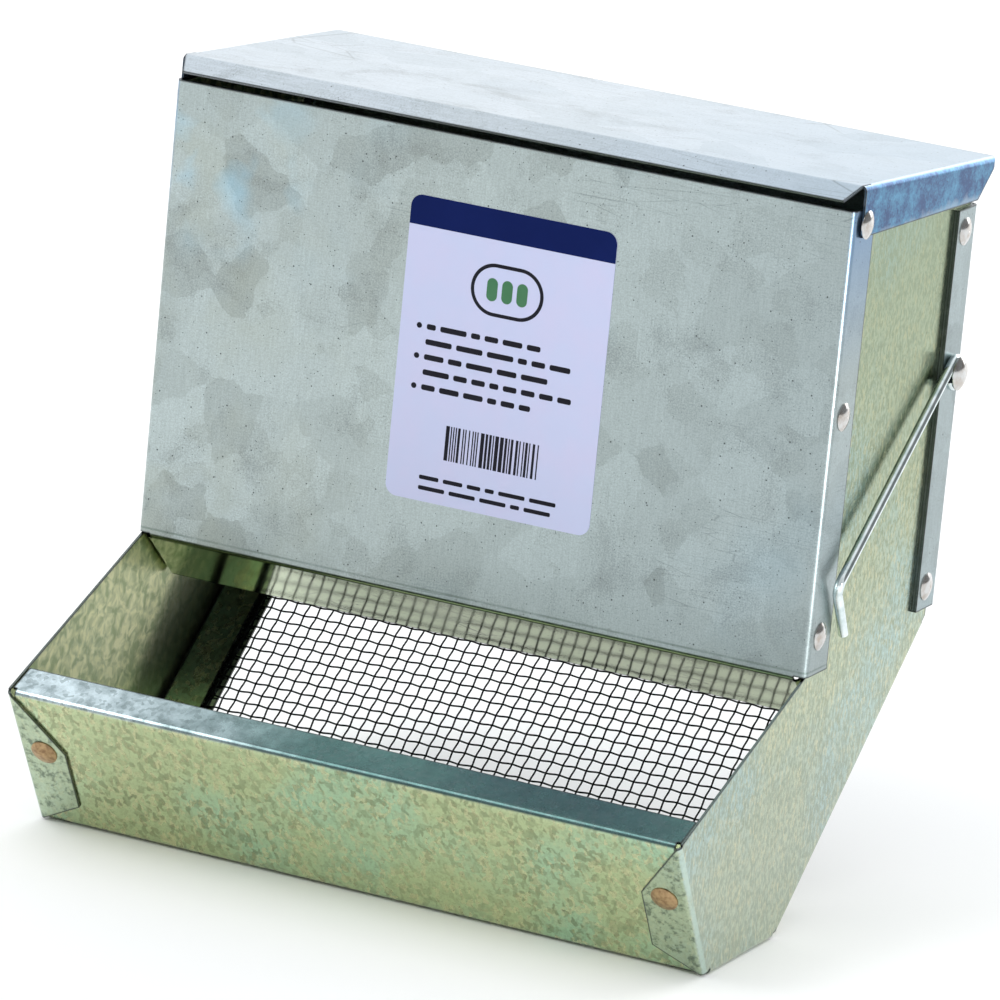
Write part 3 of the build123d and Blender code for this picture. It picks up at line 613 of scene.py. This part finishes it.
def blue_flaps(made, colour, roughness, streaks):
    """Painted shade darkens the lid to the right; its flaps, the outermost metal, carry a painted
    sky-blue reflection, paler along the lower edge.
    """
    low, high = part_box("lid")
    height = side_of(made, "Z")[0]
    mask = made.span(side_of(made, "X")[1], high.x - 1.3 * MM, high.x - 0.4 * MM, 0.0, 0.95)
    mottle = made.sum(made.noise(150, detail=5.0, rough=0.7), streaks, 0.5)
    # Painted shade: the lid's colour is darkened towards the right.
    right = made.span(side_of(made, "X")[0], 0, high.x, 0.0, 0.5)
    colour = made.mix(right, colour, srgb(160, 180, 196))
    # Painted reflection: the flaps are painted sky blue, with a paler band along their lower edge.
    blue = made.mix(made.span(mottle, 0.66, 0.98), srgb(0, 58, 112), srgb(78, 146, 182))
    wandering = made.sum(height, made.noise(300, detail=4.0), 5 * MM)
    pale_lower_band = made.span(wandering, low.z + 5 * MM, low.z + 3.6 * MM)
    blue = made.mix(made.product(pale_lower_band, 0.5), blue, srgb(168, 190, 206))
    return made.mix(mask, colour, blue), roughness


def front_tints(made, colour, roughness, streaks):
    """The hopper front: a painted blue reflection high on its flanges, warm at the left, slate low and at
    the right, with sky-blue spots at the upper left; a dark line of painted shade runs along its fold, and
    below the fold the feed baffle is olive and mirror-smooth."""
    low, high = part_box("hopper_front_panel")
    height = side_of(made, "Z")[0]
    # Painted reflection: the flanges are painted blue high up.
    flange = made.span(side_of(made, "X")[1], high.x - 1.2 * MM, high.x - 0.3 * MM)
    upper = made.span(height, high.z - 40 * MM, high.z - 6 * MM, 0.0, 0.7)
    colour = made.mix(made.product(flange, upper), colour, srgb(84, 128, 176))
    foot = low.z + BAFFLE_DROP
    across = side_of(made, "X")[0]
    right_low = made.sum(across, height, -0.35)
    colour = made.mix(made.span(right_low, -30 * MM, 60 * MM, 0.0, 0.2), colour, srgb(116, 134, 142))
    # A faint darker mottle that rises from the fold up the hopper front.
    low_mottle = made.span(made.noise(70, detail=4.0), 0.35, 0.6)
    rise = made.product(made.span(height, foot + 24 * MM, foot), low_mottle)
    colour = made.mix(made.product(rise, 0.16), colour, srgb(120, 134, 134))
    mottle = made.span(made.noise(55, detail=5.0), 0.45, 0.65)
    warm = made.product(made.span(across, 0, low.x, 0.0, 0.3), mottle)
    colour = made.mix(warm, colour, srgb(160, 164, 146))
    corner = made.product(
        made.span(across, low.x + 48 * MM, low.x + 20 * MM),
        made.span(height, high.z - 46 * MM, high.z - 24 * MM),
    )
    spots = made.product(corner, made.span(made.noise(62, detail=3.0, warp=0.4), 0.5, 0.7, 0.0, 0.42))
    colour = made.mix(spots, colour, srgb(158, 206, 230))
    crease = made.product(
        made.span(height, foot + 2.2 * MM, foot + 1.9 * MM),
        made.span(height, foot + 1.4 * MM, foot + 1.7 * MM),
    )
    crease = made.product(crease, made.span(made.noise(160), 0.35, 0.65, 0.3, 0.6))
    colour = made.mix(crease, colour, srgb(96, 112, 104))
    # Painted shade: a dark line is painted along the fold between the front and the baffle.
    bend = made.product(
        made.span(height, foot + 0.8 * MM, foot + 0.3 * MM),
        made.span(height, foot - 0.9 * MM, foot - 0.4 * MM),
    )
    baffle = made.span(height, foot + 0.3 * MM, foot - 0.4 * MM)
    olive_tone = made.mix(made.noise(60, detail=3.0), srgb(204, 216, 186), srgb(216, 222, 200))
    colour = made.mix(made.product(bend, 0.8), made.mix(baffle, colour, olive_tone), srgb(70, 82, 70))
    return colour, made.sum(roughness, baffle, -0.27)


def lip_tints(made, colour, roughness, height):
    """The trough's lip is painted cooler and darker than its front, palest at the left end: a painted
    reflection.
    """
    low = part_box("trough_pan")[0]
    across, up = side_of(made, "X")[0], side_of(made, "Z")[0]
    behind = side_of(made, "Y")[0]
    brow = low.z + BROW_HEIGHT
    lip = made.product(
        made.span(up, brow - 0.9 * MM, brow - 0.3 * MM),
        made.span(behind, low.y + LIP_RUN + MM, low.y + LIP_RUN - MM),
    )
    # Painted reflection: pale blue-white at the left end, fading to dark teal towards the right.
    wander = made.sum(across, made.noise(70, detail=4.0), 30 * MM)
    fade = made.span(wander, low.x + 30 * MM, low.x + 95 * MM)
    cool = made.mix(fade, srgb(214, 230, 236), srgb(80, 108, 106))
    reflection_and_smudge = made.mix(made.span(made.noise(240, detail=4.0), 0.4, 0.66, 0.0, 0.5), cool, srgb(70, 92, 92))
    flecks = made.span(made.cells(1.0, made.stretched((900, 900, 900))), 0.55, 0.9, 0.0, 0.4)
    reflection_and_smudge = made.mix(flecks, reflection_and_smudge, srgb(96, 112, 112))
    return made.mix(lip, colour, reflection_and_smudge), roughness, height


def side_tints(made, colour, roughness, height):
    """Side panels: stippled outside, darker high up, with painted highlights on folds and scuffed tabs;
    inside they are yellower, rougher and dimpled, under a painted bright reflection of the mesh, with a
    painted dark reflection behind a slanted line."""
    true = made.node("ShaderNodeNewGeometry").outputs["True Normal"]
    normal = made.node("ShaderNodeSeparateXYZ", {"Vector": true})
    across = side_of(made, "X")[0]
    facing = made.product(normal.outputs["X"], made.span(across, -1 * MM, 1 * MM, 1.0, -1.0))
    inner = made.span(facing, 0.3, 0.6)
    stipple = made.noise(1.0, made.stretched((1100, 1100, 560)), detail=2.0, rough=0.7)
    colour = made.mix(made.span(stipple, 0.47, 0.58, 0.0, 0.74), colour, srgb(126, 140, 108))
    low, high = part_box("right_side_panel")
    upper = made.span(side_of(made, "Z")[0], low.z + 20 * MM, high.z)
    colour = made.mix(made.span(upper, 0.25, 0.9, 0.0, 0.64), colour, srgb(122, 140, 112))
    colour = made.mix(made.span(upper, 0.5, 0.0, 0.0, 0.28), colour, srgb(206, 216, 214))
    forward = normal.outputs["Y"]
    # Painted highlight: the folds, faces turning from the side to the front, are painted pale.
    fold = made.product(made.span(forward, -0.04, -0.2), made.span(forward, -0.78, -0.6))
    pale = made.product(fold, made.span(made.noise(300, detail=3.0), 0.3, 0.5, 0.3, 0.9))
    colour = made.mix(pale, colour, srgb(192, 210, 200))
    tab = made.span(forward, -0.7, -0.8)
    colour = made.mix(made.product(tab, 0.6), colour, srgb(182, 198, 164))
    rubs = made.span(made.noise(420, detail=5.0, rough=0.75), 0.49, 0.62, 0.0, 0.75)
    marks = made.product(tab, rubs)
    colour = made.mix(marks, colour, srgb(86, 100, 88))
    dimples_and_reflection = made.noise(330, detail=2.0, rough=0.5, warp=0.6)
    # Partly painted reflection: over the zinc's own yellower tone, the bright mottle stands for the lit mesh
    # mirrored inside.
    tone = made.mix(made.span(dimples_and_reflection, 0.36, 0.62), srgb(246, 246, 198), srgb(176, 190, 142))
    # Painted reflection: the inner faces are painted dark behind a slanted line.
    slanted = made.sum(made.sum(side_of(made, "Y")[0], side_of(made, "Z")[0], -0.7), stipple, 4 * MM)
    behind = made.span(slanted, 36 * MM, 43 * MM, 0.0, 0.75)
    tone = made.mix(behind, tone, srgb(74, 82, 62))
    deeper = made.sum(made.sum(height, stipple, 1.2), made.product(inner, dimples_and_reflection), 7.0)
    return made.mix(made.product(inner, 0.85), colour, tone), made.sum(roughness, inner, 0.12), deeper


def paint(material, *names):
    """Give the CAD nodes of these names the material."""
    for name in names:
        slots = nodes[name].material_slots
        for slot in slots:
            slot.material = material
        if not slots:
            nodes[name].data.materials.append(material)


# ---- the scene -------------------------------------------------------------
add_camera()

grey = bright_sheet(
    "galvanised_grey", srgb(190, 203, 203), srgb(152, 161, 158), srgb(158, 198, 220), tint=front_tints,
)
back_grey = bright_sheet("galvanised_back", srgb(168, 182, 184), srgb(140, 151, 152), srgb(150, 186, 204))
lid_grey = bright_sheet(
    "galvanised_lid", srgb(206, 215, 224), srgb(190, 199, 205), srgb(198, 214, 232), "X", blue_flaps,
)
olive = olive_sheet(
    "galvanised_olive", srgb(190, 203, 160), srgb(124, 132, 102), srgb(212, 206, 164), srgb(170, 208, 182),
    (900, 900, 380), 0.16, lip_tints,
)
side_olive = olive_sheet(
    "galvanised_side", srgb(180, 190, 158), srgb(124, 138, 116), srgb(212, 202, 152), srgb(158, 192, 194),
    (1500, 1500, 480), 0.14, side_tints,
)
# Painted shade: the sifter wires are painted near-black, for the dark look they have against the bright
# floor.
wire_metal = plain_metal("dull_shaded_wire", srgb(24, 28, 26), srgb(14, 18, 16), 0.5)
hook_metal = plain_metal("bright_wire", srgb(232, 240, 242), srgb(196, 212, 212), 0.09, 300, 0.000004)
rivet_metal = plain_metal("rivet_silver", srgb(208, 208, 207), srgb(182, 172, 162), 0.14, 420, 0.000006)
tab_rivet_metal = plain_metal("rivet_copper", srgb(178, 150, 112), srgb(140, 112, 84), 0.36, 900)
film = print_film("label_film", srgb(194, 200, 230), srgb(202, 198, 228), 0.3)
navy = print_film("label_navy", srgb(10, 26, 80), srgb(14, 30, 88), 0.3, 0.06)
ink = print_film("label_ink", srgb(26, 26, 34), srgb(36, 36, 46), 0.4, 0.1)
accent = print_film("label_accent", srgb(70, 118, 84), srgb(82, 128, 96), 0.4, 0.1)

paint(grey, "hopper_front_panel")
paint(back_grey, "back_panel", "card_holder")
paint(lid_grey, "lid")
paint(olive, "trough_pan", "mesh_clamp_strip")
paint(side_olive, "left_side_panel", "right_side_panel")
paint(hook_metal, "left_hook", "right_hook")
paint(rivet_metal, "left_lid_pivot_rivet", "right_lid_pivot_rivet", "left_hook_rivet", "right_hook_rivet")
paint(rivet_metal, "hopper_front_rivets", "back_rivets")
paint(tab_rivet_metal, "trough_tab_rivets", "ramp_rivets", "mesh_clamp_rivets", "back_seam_rivets")
woven_mesh(wire_metal)
label_print(film, navy, ink, accent)

bpy.ops.mesh.primitive_plane_add(size=FLOOR_SIZE, location=(0, 0, cad_box[0].z))
floor = bpy.context.object
floor.name = "floor"
floor.data.materials.append(floor_finish())

add_world()
for light in LIGHTS:
    add_soft_light(*light)
bpy.context.scene.view_settings.view_transform = "Standard"
